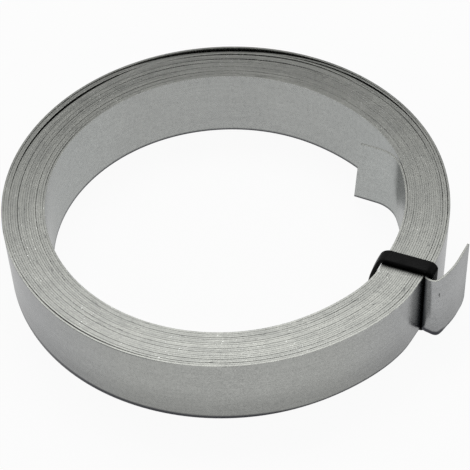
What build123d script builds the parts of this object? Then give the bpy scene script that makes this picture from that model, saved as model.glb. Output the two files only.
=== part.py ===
"""A roll of galvanized steel strap, lying flat, with a black tie looped round one side.

The strap is one long piece, wound on its edge into a ring. Its turns show as rings
on both ends. The outer end is folded back round the leg of the tie and springs away
from the roll. The inner end peels off the bore wall and bends into the bore.

Frame, in millimetres: the bore's axis is +Z, z = 0 is the floor that the roll lies on,
and +X points to the side where both loose ends are.
"""
import os
from math import cos, radians, sin

from build123d import *

# Strap, as it is sold
strap_width = 30.0
strap_thickness = 0.8

# Winding
turns = 19
turn_slack = 0.105
bore_radius = 68.75
edge_relief = 0.25

# Tie band: where it crosses the roll, its section and its gaps to the roll
tie_angle = -32.4
tie_width = 4.8
tie_thickness = 1.8
tie_corner_radius = 2.8
tie_inner_corner_radius = 0.3
tie_side_gap = 0.3
tie_seat_gap = 0.1

# Outer end of the strap: folded round the tie's outer leg, then springing away
fold_gap = 0.3
fold_root_radius = 1.2
fold_reach = 6.35
fold_crest_radius = 2.2
fold_turn = 76.0
outer_end_curve_radius = 42.0
outer_end_curve_turn = 15.5
outer_end_straight = 10.0
outer_end_shear = 3.5

# Inner end of the strap: bent into the bore
peel_angle = 8.0
peel_radius = 13.5
peel_turn = 55.0
inner_end_straight = 8.8
inner_end_shear = -3.5

# Both ends are cut with shears, which leaves the lower corner a little round
corner_rounding = 1.5
# How far each loose end's root runs inside the turn that it belongs to
root_overlap = 0.6

# Worked out from the values above
turn_pitch = strap_thickness + turn_slack
outer_radius = bore_radius + turns * turn_pitch
roll_bottom = tie_thickness + tie_seat_gap
roll_top = roll_bottom + strap_width


def turned_ring():
    """The wound turns as one turned solid.

    Each turn's cut edge is one sloping ring on each end of the roll. Neighbouring turns slope
    to opposite sides, so every turn shows.
    """
    seams = [bore_radius + turn * turn_pitch for turn in range(turns + 1)]

    def end_profile(face, inwards):
        return [
            (seam, face if count % 2 else face + inwards * edge_relief)
            for count, seam in enumerate(seams)
        ]

    lower = end_profile(roll_bottom, 1)
    upper = end_profile(roll_top, -1)
    outline = Polyline(*lower, *reversed(upper), close=True)
    return revolve(Plane.XZ * make_face(outline), Axis.Z)


def heading_point(start, heading, length):
    """The point at a distance from start, along a heading in degrees from +X."""
    return (
        start[0] + length * cos(radians(heading)),
        start[1] + length * sin(radians(heading)),
    )


def bend(start, heading, radius, turn):
    """A tangent arc that leaves start along the heading and turns by so many degrees, left if positive."""
    side = 1 if turn > 0 else -1
    centre = heading_point(start, heading + 90 * side, radius)
    middle = heading_point(centre, heading - 90 * side + turn / 2, radius)
    end = heading_point(centre, heading - 90 * side + turn, radius)
    return ThreePointArc(start, middle, end), end, heading + turn


def strap_end(line, end, heading, shear):
    """A length of strap stood on its edge along a plan line, with its end cut a little off square."""
    strip = extrude(trace(line, strap_thickness), strap_width)
    cut_at = heading_point(end, heading, -strap_width / 2 * sin(radians(abs(shear))))
    cut_plane = Plane(
        origin=(*cut_at, strap_width / 2),
        x_dir=(-sin(radians(heading)), cos(radians(heading)), 0),
        z_dir=(
            cos(radians(heading)) * cos(radians(shear)),
            sin(radians(heading)) * cos(radians(shear)),
            -sin(radians(shear)),
        ),
    )
    strip = split(strip, cut_plane, keep=Keep.BOTTOM)
    lower_corner = strip.edges().sort_by_distance((*cut_at, 0))
    across = [edge for edge in lower_corner if abs(edge.length - strap_thickness) < 0.01][0]
    strip = fillet(across, corner_rounding)
    return Pos(0, 0, roll_bottom) * strip


def outer_end():
    """The outermost turn leaves the roll beside the tie, folds back round its leg and springs away."""
    turn_middle = outer_radius - turn_pitch / 2
    fold_place = -tie_width / 2 - fold_gap - strap_thickness / 2
    start = (turn_middle, fold_place + fold_root_radius + root_overlap)
    root = (turn_middle, fold_place + fold_root_radius)
    first, first_end, heading = bend(root, -90, fold_root_radius, 90)
    crest = (outer_radius + fold_reach - fold_crest_radius, fold_place)
    second, second_end, heading = bend(crest, heading, fold_crest_radius, fold_turn)
    third, third_end, heading = bend(
        second_end, heading, outer_end_curve_radius, outer_end_curve_turn
    )
    last_end = heading_point(third_end, heading, outer_end_straight)
    line = Wire(
        [
            Line(start, root),
            first,
            Line(first_end, crest),
            second,
            third,
            Line(third_end, last_end),
        ]
    )
    return Rot(0, 0, tie_angle) * strap_end(line, last_end, heading, outer_end_shear)


def inner_end():
    """The innermost turn peels off the bore wall and bends into the bore."""
    turn_middle = bore_radius + turn_pitch / 2
    start = (turn_middle, -root_overlap)
    root = (turn_middle, 0)
    curve, curve_end, heading = bend(root, 90, peel_radius, peel_turn)
    last_end = heading_point(curve_end, heading, inner_end_straight)
    line = Wire([Line(start, root), curve, Line(curve_end, last_end)])
    return Rot(0, 0, peel_angle) * strap_end(line, last_end, heading, inner_end_shear)


def strap_roll():
    """The whole strap, which is one piece: its wound turns and its two loose ends."""
    return turned_ring() + outer_end() + inner_end()


def tie_band():
    """A flat band closed round the wound turns, with rounded corners."""
    inner_wall = bore_radius - tie_side_gap
    outer_wall = outer_radius + tie_side_gap
    low = roll_bottom - tie_seat_gap
    high = roll_top + tie_seat_gap
    place = Plane.XZ * Pos((inner_wall + outer_wall) / 2, (low + high) / 2)
    inside = RectangleRounded(outer_wall - inner_wall, high - low, tie_inner_corner_radius)
    outside = RectangleRounded(
        outer_wall - inner_wall + 2 * tie_thickness,
        high - low + 2 * tie_thickness,
        tie_corner_radius,
    )
    loop = extrude(place * (outside - inside), tie_width / 2, both=True)
    return Rot(0, 0, tie_angle) * loop


def main():
    os.makedirs("parts", exist_ok=True)
    pieces = {"strap_roll": strap_roll(), "tie_band": tie_band()}
    for name, solid in pieces.items():
        export_step(solid, f"parts/{name}.step")
        box = solid.bounding_box()
        print(
            f"{name}: {len(solid.solids())} solid, {solid.volume / 1000:.2f} cm3, "
            f"x {box.min.X:.2f}..{box.max.X:.2f}, y {box.min.Y:.2f}..{box.max.Y:.2f}, "
            f"z {box.min.Z:.2f}..{box.max.Z:.2f}"
        )


main()
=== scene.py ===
# %% [markdown]
# A roll of galvanized steel strap, held by one black plastic tie.
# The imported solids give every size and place. This lesson adds what a turned solid can't show:
# one long strip that winds from its folded outer end to its curled inner end, with the loose
# turns, slit edges and zinc finish of the real roll.

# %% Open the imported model
import bpy
import numpy as np
from mathutils import Matrix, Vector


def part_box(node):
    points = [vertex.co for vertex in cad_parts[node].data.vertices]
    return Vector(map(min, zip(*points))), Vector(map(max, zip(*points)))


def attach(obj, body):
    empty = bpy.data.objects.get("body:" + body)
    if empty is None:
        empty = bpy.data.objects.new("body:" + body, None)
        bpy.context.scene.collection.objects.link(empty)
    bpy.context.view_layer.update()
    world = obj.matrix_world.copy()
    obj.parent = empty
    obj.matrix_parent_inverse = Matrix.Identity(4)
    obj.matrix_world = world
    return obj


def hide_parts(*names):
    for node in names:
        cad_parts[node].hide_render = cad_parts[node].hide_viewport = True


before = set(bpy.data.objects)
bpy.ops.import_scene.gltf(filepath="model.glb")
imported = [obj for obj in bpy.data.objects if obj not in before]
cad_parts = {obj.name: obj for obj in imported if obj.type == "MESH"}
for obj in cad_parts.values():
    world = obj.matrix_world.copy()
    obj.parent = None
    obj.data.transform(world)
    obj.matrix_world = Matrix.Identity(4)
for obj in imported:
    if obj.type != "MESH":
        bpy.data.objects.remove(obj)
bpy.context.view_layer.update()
roll_low, roll_high = (np.array(corner) * 1000 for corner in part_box("strap_roll"))
print("roll stands from", roll_low[2].round(2), "to", roll_high[2].round(2), "mm")

# %% [markdown]
# Some sizes serve both the finishes and the shapes. Shapes are worked out in millimetres, and
# finishes in metres, as Blender has them. Angles are in degrees, anticlockwise from +X as seen
# from above, and a place in plan is a complex number.

# %% Shared sizes
strap_thickness, strap_width = 0.8, 30.0
fold_start = 27.5
tie_angle = -32.4
tie_turn = -24.0
tie_middle = 65.95 - 42.05j
print("tie is", round(abs(tie_middle), 1), "mm from the roll's axis")

# %% [markdown]
# The camera stands in front of the roll and looks down at it through a long lens.
# Its place and its three directions were worked out from the roll's round edges, which are
# circles of known size. A matrix with those directions as columns sets it with no guessing.

# %% Camera
camera_place = np.array([3.1, -419.7, 452.4])
camera_right = np.array([0.99901753, -0.0322579, -0.03038768])
camera_up = np.array([0.04431684, 0.72717731, 0.68501765])
camera_lens, film_width = 118.31, 36

camera_data = bpy.data.cameras.new("photo_camera")
camera_data.sensor_width = film_width
camera_data.lens = camera_lens
camera = bpy.data.objects.new("photo_camera", camera_data)
bpy.context.scene.collection.objects.link(camera)
stance = np.eye(4)
stance[:3, 0] = camera_right
stance[:3, 1] = camera_up
stance[:3, 2] = np.cross(camera_right, camera_up)
stance[:3, 3] = camera_place / 1000
camera.matrix_world = Matrix(stance.tolist())
bpy.context.scene.camera = camera
print("camera is", round(float(np.linalg.norm(camera_place))), "mm from the middle of the roll")

# %% [markdown]
# Shader maths reads best as arithmetic. A Link holds one output of a node. Adding or multiplying
# Links adds the Math nodes, so a mask can be written as 1 - mask.
# Colours go through Mix nodes, because a Math node would turn them grey.

# %% Shader arithmetic
class Link:
    """One output socket of a node, with arithmetic that adds Math nodes."""

    def __init__(self, tree, socket):
        self.tree, self.socket = tree, socket

    def node(self, kind, settings=(), output=0, **values):
        """Adds a node, sets its settings first, then fills its sockets by name or number."""
        made = self.tree.nodes.new(kind)
        for key, setting in dict(settings).items():
            setattr(made, key, setting)
        for key, value in values.items():
            socket = made.inputs[int(key[1:]) if key[0] == "_" else key.replace("_", " ")]
            if isinstance(value, Link):
                self.tree.links.new(value.socket, socket)
            else:
                socket.default_value = value
        return Link(self.tree, made.outputs[output])

    def math(self, operation, *values):
        """A Math node on these values."""
        numbered = {f"_{number}": value for number, value in enumerate(values)}
        return self.node("ShaderNodeMath", {"operation": operation}, **numbered)

    def __add__(self, other): return self.math("ADD", self, other)
    def __radd__(self, other): return self.math("ADD", other, self)
    def __sub__(self, other): return self.math("SUBTRACT", self, other)
    def __rsub__(self, other): return self.math("SUBTRACT", other, self)
    def __mul__(self, other): return self.math("MULTIPLY", self, other)
    def __rmul__(self, other): return self.math("MULTIPLY", other, self)

    def ramp(self, low, high):
        """0 below low, 1 above high, and smooth between, from 3 t^2 - 2 t^3."""
        return self.node("ShaderNodeMapRange", {"interpolation_type": "SMOOTHSTEP"},
                         _0=self, _1=low, _2=high, _3=0.0, _4=1.0)

    def swing(self, amount):
        """A pattern between 0 and 1, moved to swing about 0, by this amount from end to end."""
        return amount * (self - 0.5)

    def size(self):
        """The value without its sign."""
        return self.math("ABSOLUTE", self)

    def part(self, axis):
        """One coordinate of a place: 0 is x, 1 is y and 2 is z."""
        return self.node("ShaderNodeSeparateXYZ", output=axis, Vector=self)

    def colours(self, first, second):
        """The first colour where this link is 0 and the second where it is 1."""
        return self.node("ShaderNodeMix", {"data_type": "RGBA"}, output=2,
                         _0=self, _6=first, _7=second)

    def noise(self, place, scale, detail=3.0, roughness=0.55):
        """A cloudy pattern between 0 and 1, with about this many clouds to a metre."""
        return self.node("ShaderNodeTexNoise", {"noise_dimensions": "3D"}, Vector=place,
                         Scale=scale, Detail=detail, Roughness=roughness)

    def stretched(self, place, size):
        """The place with each axis multiplied by a number, so that a pattern is drawn out."""
        return self.node("ShaderNodeMapping", {"vector_type": "POINT"}, Vector=place, Scale=size)

    def bump(self, height, strength, distance):
        """A normal that is tilted by this height map."""
        return self.node("ShaderNodeBump", Height=height, Strength=strength, Distance=distance)


def finish(name, metallic):
    """A new material: returns it, its shader node, and a Link to start the arithmetic from."""
    material = bpy.data.materials.new(name)
    material.use_nodes = True
    shader = material.node_tree.nodes["Principled BSDF"]
    shader.inputs["Metallic"].default_value = metallic
    return material, shader, Link(material.node_tree, None)


def feed(material, shader, **values):
    """Joins links to the shader's sockets by name."""
    for key, value in values.items():
        material.node_tree.links.new(value.socket, shader.inputs[key.replace("_", " ")])


def metal(level, red=0.985, blue=0.985):
    """A grey of this level in green, with red and blue as shares of it."""
    return (level * red, level, level * blue, 1.0)


print("a mid grey metal is", metal(0.5))

# %% [markdown]
# Zinc on rolled strap is a soft grey with a fine crystal mottle, faint scuffs that run the way the
# strap was pulled through the rollers, and a slow drift in tone. Painted light tints go over it:
# the bore's wall and the outer wall each get a painted shade of their own, which changes again
# towards the left and right flanks, brighter in the bore and cooler outside, as light and
# reflections fall.
# The mottle reads Object coordinates. The scuffs follow the strap, so they read its own UV map,
# where U is metres along the strap and V is metres round its section.

# %% Zinc
dull_zinc, bright_zinc = metal(0.275), metal(0.505, blue=0.975)
# Painted light: these tints stand in for light and reflections on the walls, not the zinc's colour.
bore_painted_light, bore_flank_painted_light = (0.885, 0.89, 0.885, 1), (0.98, 1.0, 1.0, 1)
outer_painted_light, outer_flank_painted_light = (0.93, 0.93, 0.91, 1), (0.90, 0.90, 0.925, 1)
bore_to_outer = 0.080, 0.083
front_to_flank = 0.030, 0.075

zinc, zinc_shader, ink = finish("galvanized_zinc", metallic=1.0)
place = ink.node("ShaderNodeTexCoord", output=3)
along = ink.node("ShaderNodeUVMap", {"uv_map": "strap"})
mottle = ink.noise(place, scale=2300, detail=2, roughness=0.6)
crystals = ink.node("ShaderNodeTexVoronoi", {"feature": "F1"}, output=1,
                    Vector=place, Scale=800.0)
crystal = ink.node("ShaderNodeSeparateColor", Color=crystals)
clouds = ink.noise(place, scale=30, detail=1)
scuffs = ink.noise(ink.stretched(along, (25, 1900, 1)), scale=1.0, detail=4, roughness=0.65)
shade = 0.5 + mottle.swing(1.2) + crystal.swing(0.08) + clouds.swing(0.12) + scuffs.swing(0.4)
bright = shade.ramp(0.05, 0.95).colours(dull_zinc, bright_zinc)

sideways, backward, height = place.part(0), place.part(1), place.part(2)
from_axis = ink.node("ShaderNodeVectorMath", {"operation": "LENGTH"}, output=1,
                     Vector=ink.stretched(place, (1, 1, 0)))
outside = from_axis.ramp(*bore_to_outer)
flank = sideways.size().ramp(*front_to_flank)
# Each wall is tinted by where light and reflections fall on it, which is painted light.
painted_wall_light = outside.colours(flank.colours(bore_painted_light, bore_flank_painted_light),
                       flank.colours(outer_painted_light, outer_flank_painted_light))
zinc_with_painted_light = ink.node("ShaderNodeMix", {"data_type": "RGBA", "blend_type": "MULTIPLY"}, output=2,
                   _0=1.0, _6=bright, _7=painted_wall_light)
print("clean zinc has", len(zinc.node_tree.nodes), "nodes")

# %% [markdown]
# Painted shade goes over the zinc. The outer wall is painted darker towards its foot, where it
# mirrors the shadowed floor. A thin painted shade line runs under the rim at the front left, and a
# painted contact shadow along the foot of the strap, taller on the left and near the fold. The
# crease of the fold is painted dark for the shade and reflections in it, and there is one speck on
# the tail.
# The crease and the speck are placed by U, counted from where the fold leaves the roll.

# %% Painted shade and a speck on the zinc
# Both colours are painted shade: the first for the crease and the rim line, the second for the
# contact shadow along the foot.
painted_crease_and_rim_shade, painted_foot_shadow = metal(0.03, red=0.8, blue=1.2), metal(0.02, red=1.0, blue=1.4)
foot_height, foot_line_height = (0.003, 0.020), (0.0021, 0.0033)
rim_height, rim_left, rim_front = (0.0311, 0.0314), (-0.045, -0.015), (-0.01, 0.03)
left_rise, left_to_right, fold_rise = 0.0007, (0.0, 0.03), 0.0012
tail_to_fold, fold_to_roll = (-0.012, -0.008), (0.004, 0.010)
crease_start, crease_end = (-0.0028, -0.0016), (0.0002, 0.0068)
crease_slant, crease_middle, crease_raggedness = 0.16, 0.012, 0.0025
speck_past_fold, speck_width, speck_raggedness = 0.0068, (0.0000, 0.0004), 0.0009
speck_height, speck_length = 0.0240, (0.0006, 0.0014)

# Painted shade: the outer wall darkens towards its foot, where it mirrors the shadowed floor.
dimmed = (0.25 * outside * (1 - height.ramp(*foot_height))).colours(zinc_with_painted_light, metal(0.0))
# Painted shade: a thin dark line under the rim at the front left.
rim = (outside * height.ramp(*rim_height) * (1 - sideways.ramp(*rim_left))
       * (1 - backward.ramp(*rim_front)))
run = along.part(0) - fold_start / 1000
near = (1 - run.ramp(*fold_to_roll)) * run.ramp(*tail_to_fold)
# The painted contact shadow at the foot rises on the left and near the fold.
rise = left_rise * outside * (1 - sideways.ramp(*left_to_right)) + fold_rise * near
# Painted contact shadow: a thin dark line along the foot of the strap.
foot_line = 1 - (height - rise).ramp(*foot_line_height)
# Painted shade in the crease of the fold, with a ragged edge.
ragged = (run + crease_slant * (height - crease_middle)
          + ink.noise(place, scale=330, detail=3).swing(crease_raggedness))
crease = (1 - ragged.ramp(*crease_end)) * run.ramp(*crease_start)
speck_side = (run + speck_past_fold + mottle.swing(speck_raggedness)).size()
speck = ((1 - speck_side.ramp(*speck_width))
         * (1 - (height - speck_height).size().ramp(*speck_length)))
# The crease and the rim line take the painted shade colour.
creased = (crease + 0.8 * rim).colours(dimmed, painted_crease_and_rim_shade)
feed(zinc, zinc_shader,
     Base_Color=(0.9 * foot_line).colours(speck.colours(creased, metal(0.02)), painted_foot_shadow),
     Roughness=0.27 + mottle.swing(0.16) + clouds.swing(0.04),
     Normal=ink.bump(mottle + 0.5 * scuffs, strength=0.35, distance=0.00005))
zinc_shader.inputs["Specular Tint"].default_value = (0.8, 0.8, 0.8, 1.0)
print("zinc with dirt has", len(zinc.node_tree.nodes), "nodes")

# %% [markdown]
# The strap was slit from a wide sheet, so its edges are bare steel: brighter where the knife
# rubbed, duller where the metal tore, with small dark nicks strung along the edge. A few bright
# specks are painted glints, where a grain would catch the light. Noise that is drawn out along U
# gives the first three. A painted shadow darkens the edges in a strip in front of the tie.

# %% Slit edge finish
dull_steel, bright_steel = metal(0.150, red=0.98, blue=0.95), metal(0.243, blue=0.93)
# After the nicks' own colour come a painted glint colour and the painted shadow beside the tie.
nick_steel, painted_glint_steel, tie_shadow_steel = metal(0.08), metal(0.85), metal(0.016)
tie_shadow_front, tie_shadow_back, tie_shadow_ends = (-0.0062, -0.0032), (0.003, 0.0045), (0.009, 0.0095)

slit, slit_shader, ink = finish("slit_edge", metallic=1.0)
place = ink.node("ShaderNodeTexCoord", output=3)
along = ink.node("ShaderNodeUVMap", {"uv_map": "strap"})
streaks = ink.noise(ink.stretched(along, (60, 2100, 1)), scale=1.0, detail=4, roughness=0.6)
drift = ink.noise(ink.stretched(along, (3.1, 60, 1)), scale=1.0, detail=1)
grains = ink.noise(place, scale=1300, detail=3, roughness=0.7)
stains = ink.noise(place, scale=120, detail=4, roughness=0.65)
nicks = ink.noise(ink.stretched(along, (170, 1700, 1)), scale=1.0, detail=2).ramp(0.65, 0.72)
# Painted glints: bright specks where a grain would catch the light.
painted_glints = (ink.noise(place, scale=2300, detail=1).ramp(0.70, 0.80)
          * ink.noise(place, scale=60).ramp(0.5, 0.62))
shade = 0.5 + streaks.swing(0.5) + stains.swing(0.5) + drift.swing(0.6) + grains.swing(0.9)
steel = shade.ramp(0.1, 0.9).colours(dull_steel, bright_steel)
sparkling = painted_glints.colours(nicks.colours(steel, nick_steel), painted_glint_steel)
# Painted shadow: a dark strip on the edges in front of the tie, where the tie shades them.
beside_tie = ink.node("ShaderNodeMapping", {"vector_type": "TEXTURE"}, Vector=place,
                      Location=(tie_middle.real / 1000, tie_middle.imag / 1000, 0),
                      Rotation=(0, 0, np.radians(tie_turn)))
behind_tie = beside_tie.part(1)
painted_tie_shadow = (behind_tie.ramp(*tie_shadow_front) * (1 - behind_tie.ramp(*tie_shadow_back))
          * (1 - beside_tie.part(0).size().ramp(*tie_shadow_ends)))
feed(slit, slit_shader,
     Base_Color=(0.85 * painted_tie_shadow).colours(sparkling, tie_shadow_steel),
     Roughness=0.30 + streaks.swing(0.08) + 0.1 * nicks,
     Normal=ink.bump(streaks, strength=0.15, distance=0.00002))
print("slit edge finish has", len(slit.node_tree.nodes), "nodes")

# %% [markdown]
# The tie is moulded black plastic: a soft sheen, faint flow lines along it, and dust that dulls it
# a little in places.

# %% Black plastic finish
clean_black, dusty_black = metal(0.003, red=1, blue=1), metal(0.006, red=1, blue=1)

plastic, plastic_shader, ink = finish("black_plastic", metallic=0.0)
place = ink.node("ShaderNodeTexCoord", output=3)
along = ink.node("ShaderNodeUVMap", {"uv_map": "strap"})
grain = ink.noise(place, scale=2200, detail=3)
flow = ink.noise(ink.stretched(along, (90, 1600, 1)), scale=1.0, detail=3)
dust = ink.noise(place, scale=260, detail=4).ramp(0.45, 0.8)
feed(plastic, plastic_shader,
     Base_Color=dust.colours(clean_black, dusty_black),
     Roughness=0.42 + grain.swing(0.25) + 0.2 * dust,
     Normal=ink.bump(grain + flow, strength=0.3, distance=0.00006))
plastic_shader.inputs["Specular IOR Level"].default_value = 0.06
print("plastic finish has", len(plastic.node_tree.nodes), "nodes")

# %% [markdown]
# Every new piece here is a section carried along a path, so one function skins them all.
# The section's points are the columns and the path's points are the rows. Each face joins four
# neighbours, and its UV keeps metres along and metres round.

# %% Skin a grid of points
def skin(name, grid, along, around, looped=False):
    """Grid point (row, column) joins the next row and the next column, and the last column joins
    the first. Where the piece is looped the last row joins the first, and otherwise a flat face
    closes each end."""
    rows, columns = grid.shape[:2]
    row, column = np.meshgrid(np.arange(rows if looped else rows - 1), np.arange(columns),
                              indexing="ij")
    next_row, next_column = (row + 1) % rows, (column + 1) % columns
    corners = [(row, column), (next_row, column), (next_row, next_column), (row, next_column)]
    faces = np.stack([r * columns + c for r, c in corners], axis=-1).reshape(-1, 4)
    u = [along[row], along[row + 1] if looped else along[next_row]]
    v = [around[column], around[column + 1]]
    uv = np.stack([np.stack([u[a], v[b]], axis=-1) for a, b in ((0, 0), (1, 0), (1, 1), (0, 1))],
                  axis=-2).reshape(-1, 2)
    faces = faces.tolist()
    if not looped:
        last = (rows - 1) * columns
        faces += [list(range(columns)), list(range(last, rows * columns))[::-1]]
        ends = [(along[0], v) for v in around[:-1]] + [(along[-1], v) for v in around[:-1][::-1]]
        uv = np.concatenate([uv, np.array(ends)])
    mesh = bpy.data.meshes.new(name)
    mesh.from_pydata((grid.reshape(-1, 3) / 1000).tolist(), [], faces)
    layer = mesh.uv_layers.new(name="strap")
    layer.data.foreach_set("uv", (uv / 1000).ravel())
    mesh.polygons.foreach_set("use_smooth", np.ones(len(mesh.polygons), bool))
    mesh.update()
    piece = bpy.data.objects.new(name, mesh)
    bpy.context.scene.collection.objects.link(piece)
    return piece


def enclosed(piece):
    """Volume inside a closed mesh in cubic centimetres: the sum of its triangles' signed
    volumes, which outward faces make positive."""
    mesh = piece.data
    mesh.calc_loop_triangles()
    places = np.empty(len(mesh.vertices) * 3)
    mesh.vertices.foreach_get("co", places)
    index = np.empty(len(mesh.loop_triangles) * 3, int)
    mesh.loop_triangles.foreach_get("vertices", index)
    a, b, c = places.reshape(-1, 3)[index.reshape(-1, 3)].transpose(1, 0, 2)
    print(piece.name, "has", len(a), "triangles")
    return float((a * np.cross(b, c)).sum() / 6 * 1e6)


def lengths_round(x, y):
    """Distance round a closed outline to each of its points, and back to the first."""
    steps = np.hypot(np.diff(np.append(x, x[0])), np.diff(np.append(y, y[0])))
    return np.concatenate([[0], steps]).cumsum()


print("a square of side 1 is", lengths_round([0, 1, 1, 0], [0, 0, 1, 1])[-1], "round")

# %% [markdown]
# The strap's section is a thin rectangle, 30 mm high, with corners rounded by the slitting knife.
# Two more points beside each corner keep the shading flat right up to it. That makes five points
# a corner, and the faces between corners on the long sides are the walls of the strap.

# %% Strap section
edge_rounding = 0.035
thin_inset, tall_inset = 0.07, 0.6
wall_columns = [7, 8, 9, 17, 18, 19]

half_thick, half_high = strap_thickness / 2, strap_width / 2
corner = np.radians([[0, 45, 90], [90, 135, 180], [180, 225, 270], [270, 315, 360]])
side, level = np.array([[1], [-1], [-1], [1]]), np.array([[1], [1], [-1], [-1]])
section_x = side * (half_thick - edge_rounding) + edge_rounding * np.cos(corner)
section_z = level * (half_high - edge_rounding) + edge_rounding * np.sin(corner)
short, long = half_thick - edge_rounding - thin_inset, half_high - tall_inset
section_x = np.hstack([section_x, half_thick * np.array([[0, 0], [-1, -1], [0, 0], [1, 1]])
                       + short * np.array([[1, -1], [0, 0], [-1, 1], [0, 0]])]).ravel()
section_z = np.hstack([section_z, half_high * np.array([[1, 1], [0, 0], [-1, -1], [0, 0]])
                       + long * np.array([[0, 0], [1, -1], [0, 0], [-1, 1]])]).ravel()
section_round = lengths_round(section_x, section_z)
on_edge = np.ones(len(section_x), int)
on_edge[wall_columns] = 0
print("strap section has", len(section_x), "points and is", round(section_round[-1], 1), "mm round")

# %% [markdown]
# The roll was wound tight at the front and has sprung open at the back, so its turns don't lie at
# one pitch. Every turn is counted in degrees wound from the fold, with 19 turns in all.
# The loose places are smooth humps in the gaps, each outside one turn and at one angle.

# %% Loose places between turns
outer_place = -33.67
turn_count = 19
steps = 200
loose_places = (
    (1, 84, 22, 0.75), (1, 0, 14, 0.32), (1, 142, 34, 0.28), (2, 42, 13, 0.7), (2, 20, 12, 0.3),
    (3, 46, 14, 0.5), (3, 85, 20, 0.3), (3, 0, 14, 0.30), (3, 140, 30, 0.5), (4, 22, 14, 0.3),
    (4, 68, 26, 0.35), (6, 88, 26, 0.15), (7, 80, 24, 0.5), (9, 106, 18, 0.28),
    (11, 141, 20, 0.28), (18, 155, 24, 0.30), (1, 222, 24, 0.12), (2, -26, 9, 0.2),
    (4, -26, 9, 0.15), (2, 318, 9, 0.2), (4, 318, 9, 0.15))


def ease(t):
    """0 below 0, 1 above 1, 3 t^2 - 2 t^3 between."""
    t = np.clip(t, 0, 1)
    return t * t * (3 - 2 * t)


def hump(t):
    """Bell of height 1, exp(-t^2)."""
    return np.exp(-t * t)


def loose(turn, angle, spread, gap):
    """A gap outside this turn, widest at an angle round the roll and fading over spread degrees."""
    return gap * hump((wound - 360 * turn - (angle - outer_place)) / spread)


past = np.arange(steps) * 360 / steps
wound = past + 360 * np.arange(turn_count + 1)[:, None]
gaps = sum(loose(*loose_place) for loose_place in loose_places)
gaps[[0, turn_count]] = 0
print("loose places open the turns by up to", gaps.sum(axis=0).max().round(2), "mm in all")

# %% [markdown]
# The outermost turn rides over its own beginning at the fold and joins the turn below it one turn
# later, with a slight bulge beside the tie. The innermost turn lines the bore, until it peels off
# it 42 degrees past the fold. Between the two lies the room that the turns share.

# %% Room between rim and bore
outer_middle, fold_lift, fold_settle = 85.53, 0.72, 35
bore_radius, bore_middle = 68.75, (-0.46, -1.78)
peel_place, peel_gap, peel_spring = 8.6, 0.3, 0.8
peel_slack, slack_spread = 1.9, 46
join_start, join_reach = 345, 15


def bulge(size, at, spread, fade):
    """A bell at some degrees past the fold, brought to nothing over the last of the turn."""
    return size * hump((past - at) / spread) * ease((360 - past) / fade)


rim_bulge = bulge(size=0.8, at=349, spread=13, fade=9)
bore_bulge = bulge(size=0.95, at=350, spread=12, fade=5)
angle = np.radians(past + outer_place)
bore = bore_radius + bore_middle[0] * np.cos(angle) + bore_middle[1] * np.sin(angle)
smallest = (outer_middle + fold_lift + half_thick - bore[0] - (turn_count + 1) * strap_thickness
            - gaps[1:turn_count, 0].sum()) / turn_count
peel_past = peel_place - outer_place
last_gap = smallest + (peel_gap - smallest) * ease(past / peel_past)
tucked = (outer_middle + fold_lift * (1 - ease(past / fold_settle))
          + rim_bulge
          + (fold_lift - strap_thickness - smallest) * ease((past - join_start) / join_reach))
lining = np.where(past < peel_past,
                  bore + peel_spring * ease(past / peel_past) + strap_thickness + last_gap,
                  bore + peel_slack * (1 - ease((past - peel_past) / slack_spread)) + bore_bulge)
spare = tucked + half_thick - lining - turn_count * strap_thickness
print("spare room", spare.min().round(2), "to", spare.max().round(2), "mm")

# %% [markdown]
# The loose places take what they ask for, or less where the room is tight. What is left goes to
# all the gaps in shares that drift along the strap, so that no two seams look alike. The shares
# are even at the tie, where the turns have to meet, and more even at the back.
# Each radius is then the radius of the turn outside it, less the strap and the gap.

# %% Radius of every turn
least_gap = 0.007
share_waves = (590, 905, 257, 1411)
tie_calm, back_calm, back_spread = 30, 0.65, 75

dice = np.random.default_rng(7)
window = (ease(past / tie_calm) * ease((360 - past) / tie_calm)
          * (1 - back_calm * hump((past + outer_place - 90) / back_spread)))
weight = np.exp(window * sum(np.sin(2 * np.pi * (wound / period + dice.random()))
                             for period in share_waves))
asked = gaps[1:turn_count].sum(axis=0)
share = np.clip((spare - (turn_count - 1) * least_gap) / np.maximum(asked, 1e-9), 0, 1)
gaps[1:turn_count] = (gaps[1:turn_count] * share + (spare - asked * share)
                      * weight[1:turn_count] / weight[1:turn_count].sum(axis=0))
gaps[turn_count] = last_gap
thickness_over = strap_thickness * (np.arange(turn_count + 1)[:, None] > 0)
radius = tucked - np.cumsum(thickness_over + gaps, axis=0)
print("least gap", gaps[1:].min().round(4), "mm; widest gap", gaps[1:].max().round(2), "mm")

# %% [markdown]
# The plan of the strap is drawn with complex numbers, which keep a point and a heading in one
# value each. A left bend of radius r through an angle a moves the point by
# heading * r * (e^ia - 1) / i and turns the heading by e^ia.
# At its outer end the strap folds out from the roll, back over the tie's leg and on into a tail.
# At its inner end it curls away from the bore.

# %% Plan of the strap
root_back = 1.6
fold_runs = [(1.7, 90), (0, 1.0), (2.6, 70), (34, 21.8), (0, 7.7)]
curl_runs = [(13.5, 55), (0, 8.8)]
curl_turn_in = 0.01
straight_piece, crisp_share = 0.4, 0.03


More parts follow.
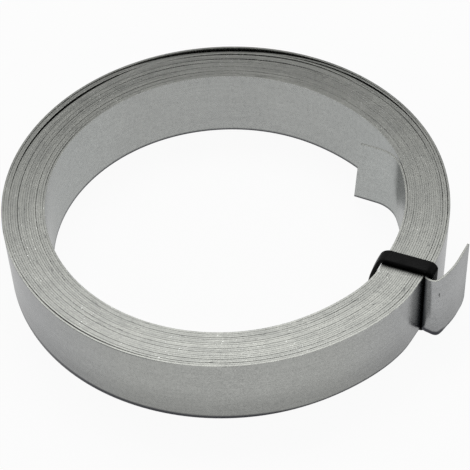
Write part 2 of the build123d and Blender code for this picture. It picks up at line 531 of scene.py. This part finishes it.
def walk(point, heading, runs, piece=0.35):
    """Points along bends (radius, degrees) and straights (0, length), with one more close to the
    end to keep its edge crisp."""
    points = [np.array([point])]
    for size, amount in runs:
        if size:
            count = max(3, int(np.radians(amount) * size / piece))
            a = np.radians(amount) * np.linspace(0, 1, count)[1:]
            points.append(point + heading * size * (np.exp(1j * a) - 1) / 1j)
            heading = heading * np.exp(1j * a[-1])
        else:
            count = max(3, int(amount / straight_piece))
            points.append(point + heading * amount * np.linspace(0, 1, count)[1:])
        point = points[-1][-1]
    points = np.concatenate(points)
    return np.insert(points, -1, points[-1] + crisp_share * (points[-2] - points[-1]))


radial = np.exp(1j * np.radians(tie_angle))
root_place = np.sqrt(radius[0, 0] ** 2 - root_back ** 2)
outer_end = walk(radial * (root_place - root_back * 1j), radial * -1j, fold_runs, piece=0.2)
used = wound.ravel() <= 360 * turn_count + peel_past
wound_used = wound.ravel()[used]
spiral = (radius.ravel()[used] * np.exp(1j * np.radians(wound_used + outer_place)))[1:]
inner_heading = spiral[-1] / abs(spiral[-1]) * 1j * np.exp(1j * curl_turn_in)
inner_end = walk(spiral[-1], inner_heading, curl_runs, piece=0.6)[1:]
plan = np.concatenate([outer_end[::-1], spiral, inner_end])
travel = np.concatenate([[0], np.abs(np.diff(plan)).cumsum()])
print("strap is", round(travel[-1] / 1000, 2), "m long")

# %% [markdown]
# A hand-wound roll is never flush: each turn rides a little higher or lower than its neighbour.
# A sum of slow waves along the strap lifts and drops it, less near the tie, which pulls the turns
# level. In a few places the outer turns have sunk by up to 1.3 mm.

# %% Height of the strap along its length
lift_waves = ((1013, 0.03), (715, 0.025), (487, 0.02), (233, 0.015), (97, 0.01))
level_spread = 12
sunk_turns = ((0, 222, 26, 0.5), (1, 88, 28, 1.2), (2, 78, 38, 1.3), (3, 135, 26, 0.8),
              (4, 92, 30, 0.35), (5, 92, 30, 0.35))

turned = np.concatenate([np.zeros(len(outer_end)), wound_used[1:],
                         np.full(len(inner_end), wound_used[-1])])
lift = np.zeros(len(plan))
for period, wave_height in lift_waves:
    lift += wave_height * np.sin(2 * np.pi * (turned / period + dice.random()))
from_tie = np.abs((turned + outer_place - tie_angle + 180) % 360 - 180)
lift *= 1 - hump(from_tie / level_spread)
for sunk_turn, sunk_at, spread, depth in sunk_turns:
    lift -= depth * hump((turned - 360 * sunk_turn - (sunk_at - outer_place)) / spread)
print("turns ride", lift.min().round(2), "to", lift.max().round(2), "mm")

# %% [markdown]
# Each end was cut with shears, a little out of square: the outer end is longer at the top and the
# inner end at the bottom, so near an end the section leans by the shear. The lower outer corner is
# rounded, so there the lower edge rises along a quarter circle.
# Slitting leaves a burr, so beside a gap the section is a little wider close to its top and bottom.

# %% Cut ends and burrs
outer_shear, inner_shear = 3.5, -3.5
outer_shear_reach, inner_shear_reach = 9, 8
corner_rounding = 3.0
burr_share, widest_gap_filled, burr_height = 0.35, 0.1, 0.1

to_outer, to_inner = travel, travel[-1] - travel
from_corner = np.clip(corner_rounding - to_outer, 0, None)
corner_rise = corner_rounding - np.sqrt(np.maximum(0, corner_rounding ** 2 - from_corner ** 2))
strap_height = section_z + lift[:, None] + corner_rise[:, None] * (section_z < 0)
sheared = (np.tan(np.radians(outer_shear)) * ease(1 - to_outer / outer_shear_reach) * -1
           + np.tan(np.radians(inner_shear)) * ease(1 - to_inner / inner_shear_reach))
slide = sheared[:, None] * section_z
outer_burr, inner_burr = np.zeros((2, len(plan), 1))
on_spiral = slice(len(outer_end), len(outer_end) + len(spiral))
for burr, gap in (outer_burr, gaps), (inner_burr, np.roll(gaps, -1, axis=0)):
    burr[on_spiral, 0] = burr_share * np.minimum(widest_gap_filled, gap).ravel()[used][1:]
at_edge = np.abs(section_z) > half_high - burr_height
grown = section_x + at_edge * np.where(section_x > 0, outer_burr, -inner_burr)
print("burrs stand out by up to", round(float(outer_burr.max()), 3), "mm")

# %% [markdown]
# The strap is its section carried along that plan. The fold doesn't stand upright: its lower part
# is dragged towards the tie's leg and leans away from the roll, and the tail straightens again.

# %% The strap
fold_drag, drag_from, drag_to, drag_in, drag_out = 1.0, -7, 8, 6, 5
fold_lean, lean_from, lean_reach = 1.4, 1, 3.5
tail_return, return_from, return_reach = 0.5, 7, 6
middle_height = (roll_low[2] + roll_high[2]) / 2

heading = np.gradient(plan, travel)
heading /= np.abs(heading)
outward = -1j * heading
flat = plan[:, None] + outward[:, None] * grown + heading[:, None] * slide
from_root = travel[len(outer_end) - 1] - travel
near_fold = ease((drag_to - from_root) / drag_out) * ease((from_root - drag_from) / drag_in)
lean = (fold_lean * ease((from_root - lean_from) / lean_reach)
        - tail_return * ease((from_root - return_from) / return_reach))
low_share = 0.5 - section_z / strap_width
flat = flat + radial * (fold_drag * 1j * near_fold[:, None] + lean[:, None]) * low_share
print("fold starts", round(travel[len(outer_end) - 1], 2), "mm from the outer end")

grid = np.stack([flat.real, flat.imag, middle_height + strap_height], axis=-1)
strap = skin("strap_coil", grid, travel, section_round)
strap.data.materials.append(zinc)
strap.data.materials.append(slit)
end_faces = [1, 1]
finish_of_face = np.append(np.tile(on_edge, len(plan) - 1), end_faces)
strap.data.polygons.foreach_set("material_index", finish_of_face)
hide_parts("strap_roll")
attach(strap, "root")
print("strap encloses", round(enclosed(strap), 1), "cubic centimetres")

# %% [markdown]
# The tie is one band round the strap's turns. Its loop is a rectangle with rounded corners that
# stands on edge, turned a few degrees from the radius. Its inner leg bows into the bore, because
# nothing pulls it flat there. Its outer leg lies flat against the roll, so there the band twists
# back to face along the radius, and it sits 0.4 mm back and is a little narrower, to clear the
# fold. The bow starts a third of the way out to the inner leg. The band's section is a flat oval.

# %% The tie's loop
tie_width, tie_thickness, tie_top = 5.6, 1.8, 33.8
reach_out, reach_in = 9.5, 9.7
bend_radius = 2.2
leg_bow, leg_back, leg_narrowing = 3.8, 0.4, 0.12
section_points, squareness_across, squareness_through = 24, 0.28, 0.4

loop_low, loop_high = tie_thickness / 2, tie_top - tie_thickness / 2
leg, bar = loop_high - loop_low - 2 * bend_radius, reach_in + reach_out - 2 * bend_radius
loop = walk(-reach_in + bend_radius + 1j * loop_high, -1 + 0j,
            [(bend_radius, 90), (0, leg), (bend_radius, 90), (0, bar)] * 2, piece=0.3)[:-2]
up = (loop.imag - loop_low) / (loop_high - loop_low)
loop = loop - leg_bow * np.sin(np.pi * up) * ease(-loop.real / reach_in * 1.5 - 0.5)
loop_along = np.concatenate([[0], np.abs(np.diff(np.append(loop, loop[0]))).cumsum()])
ahead = np.roll(loop, -1) - np.roll(loop, 1)
ahead /= np.abs(ahead)
outward = -1j * ahead
bead = np.radians(np.arange(section_points) * 360 / section_points)
bulge_x = tie_width / 2 * np.sign(np.cos(bead)) * np.abs(np.cos(bead)) ** squareness_across
bulge_z = tie_thickness / 2 * np.sign(np.sin(bead)) * np.abs(np.sin(bead)) ** squareness_through
bead_round = lengths_round(bulge_x, bulge_z)

facing = np.exp(1j * np.radians(tie_turn))
on_outer_leg = np.maximum(0, outward.real)[:, None]
across = facing * np.exp(1j * np.radians(tie_angle - tie_turn) * on_outer_leg)
centre = (tie_middle + facing * loop.real)[:, None] + radial * leg_back * 1j * on_outer_leg
flat = centre + across * (outward.real[:, None] * bulge_z
                          + 1j * bulge_x * (1 - leg_narrowing * on_outer_leg))
tall = loop.imag[:, None] + outward.imag[:, None] * bulge_z
print("tie's loop is", round(loop_along[-1], 1), "mm round")

# %% [markdown]
# A soft band is pressed flat where it meets the roll. Points of the tie that would lie inside the
# roll's section, or nearer to it than a small room, move out to its side or its end face,
# whichever is closer. Points near a corner of the section move both ways, which keeps the corner.

# %% The tie
press_room, corner_reach = 0.13, 0.4

far = np.abs(flat)
below, above = roll_low[2] - press_room, roll_high[2] + press_room
inside = radius[turn_count, 0] - half_thick - press_room
beyond = radius[0, 0] + half_thick + press_room
from_side = np.minimum(far - inside, beyond - far)
from_flat = np.minimum(tall - below, above - tall)
pressed = (from_side > 0) & (from_flat > 0)
to_side = pressed & (from_side < from_flat + corner_reach)
to_flat = pressed & (from_flat < from_side + corner_reach)
nearer_side = np.where(far > abs(tie_middle), beyond, inside)
flat = np.where(to_side, flat / far * nearer_side, flat)
tall = np.where(to_flat, np.where(tall > middle_height, above, below), tall)
print("tie is pressed out of the roll at", int(pressed.sum()), "points, by up to",
      round(float(np.minimum(from_side, from_flat).max()), 2), "mm")

grid = np.stack([flat.real, flat.imag, tall], axis=-1)
tie = skin("tie", grid, loop_along, bead_round, looped=True)
tie.data.materials.append(plastic)
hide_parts("tie_band")
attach(tie, "root")
print("tie encloses", round(enclosed(tie), 2), "cubic centimetres")

# %% [markdown]
# The roll lies on a plain white floor. To the camera and to reflections most of the floor's
# brightness is its own, which keeps it white, and the rest is lit, which keeps the shadow.
# The surroundings look white too, and duller overhead, but they light the scene less.

# %% Floor and surroundings
floor_reach = 3
floor_own_share = 0.94
studio_glow, overhead_dullness, overhead = 0.38, 0.5, (0.15, 0.65)
white = (1, 1, 1, 1)

floor_mesh = bpy.data.meshes.new("floor")
around_middle = ((-1, -1), (1, -1), (1, 1), (-1, 1))
floor_corners = [(x * floor_reach, y * floor_reach, 0) for x, y in around_middle]
floor_mesh.from_pydata(floor_corners, [], [(0, 1, 2, 3)])
floor = bpy.data.objects.new("floor", floor_mesh)
bpy.context.scene.collection.objects.link(floor)


def seen(ink):
    """1 for what the camera, a reflection or glass looks at, 0 for light on its way round."""
    rays = ink.tree.nodes.new("ShaderNodeLightPath")
    camera_ray, glossy, through = (
        Link(ink.tree, rays.outputs[name])
        for name in ("Is Camera Ray", "Is Glossy Ray", "Is Transmission Ray"))
    return ink.math("MAXIMUM", camera_ray, ink.math("MAXIMUM", glossy, through))


paper = bpy.data.materials.new("white_floor")
paper.use_nodes = True
paper.node_tree.nodes.clear()
ink = Link(paper.node_tree, None)
lit = ink.node("ShaderNodeBsdfDiffuse", Color=(0.8, 0.8, 0.8, 1))
own = ink.node("ShaderNodeEmission", Color=white, Strength=1.0)
both = ink.node("ShaderNodeMixShader", _0=seen(ink) * floor_own_share, _1=lit, _2=own)
paper_output = ink.tree.nodes.new("ShaderNodeOutputMaterial")
ink.tree.links.new(both.socket, paper_output.inputs["Surface"])
floor_mesh.materials.append(paper)

world = bpy.data.worlds.new("studio")
world.use_nodes = True
world.node_tree.nodes.clear()
bpy.context.scene.world = world
ink = Link(world.node_tree, None)
glow = ink.node("ShaderNodeBackground", Color=white, Strength=studio_glow)
upward = ink.node("ShaderNodeTexCoord").part(2)
backdrop = ink.node("ShaderNodeBackground", Color=white,
                    Strength=1 - overhead_dullness * upward.ramp(*overhead))
both = ink.node("ShaderNodeMixShader", _0=seen(ink), _1=glow, _2=backdrop)
world_output = ink.tree.nodes.new("ShaderNodeOutputWorld")
ink.tree.links.new(both.socket, world_output.inputs["Surface"])
bpy.context.scene.view_settings.view_transform = "Standard"
print("floor reaches", floor_reach, "m each way")

# %% [markdown]
# One wide soft lamp hangs above and behind the roll. A metal edge mirrors it where the view is
# steep, at the front, and misses it at the back, so the near side of the roll is brighter.

# %% Lamp
lamp_width, lamp_depth, lamp_power = 0.9, 0.5, 5.4
lamp_place = np.array([-0.03, 0.58, 1.05])

lamp_data = bpy.data.lights.new("soft_lamp", "AREA")
lamp_data.shape = "RECTANGLE"
lamp_data.size, lamp_data.size_y = lamp_width, lamp_depth
lamp_data.energy = lamp_power
lamp = bpy.data.objects.new("soft_lamp", lamp_data)
bpy.context.scene.collection.objects.link(lamp)
lamp_back = lamp_place / np.linalg.norm(lamp_place)
lamp_right = np.cross([0, 1, 0], lamp_back)
lamp_right /= np.linalg.norm(lamp_right)
stance = np.eye(4)
stance[:3, 0] = lamp_right
stance[:3, 1] = np.cross(lamp_back, lamp_right)
stance[:3, 2] = lamp_back
stance[:3, 3] = lamp_place
lamp.matrix_world = Matrix(stance.tolist())
print("lamp is", round(float(np.linalg.norm(lamp_place)), 2), "m from the roll")
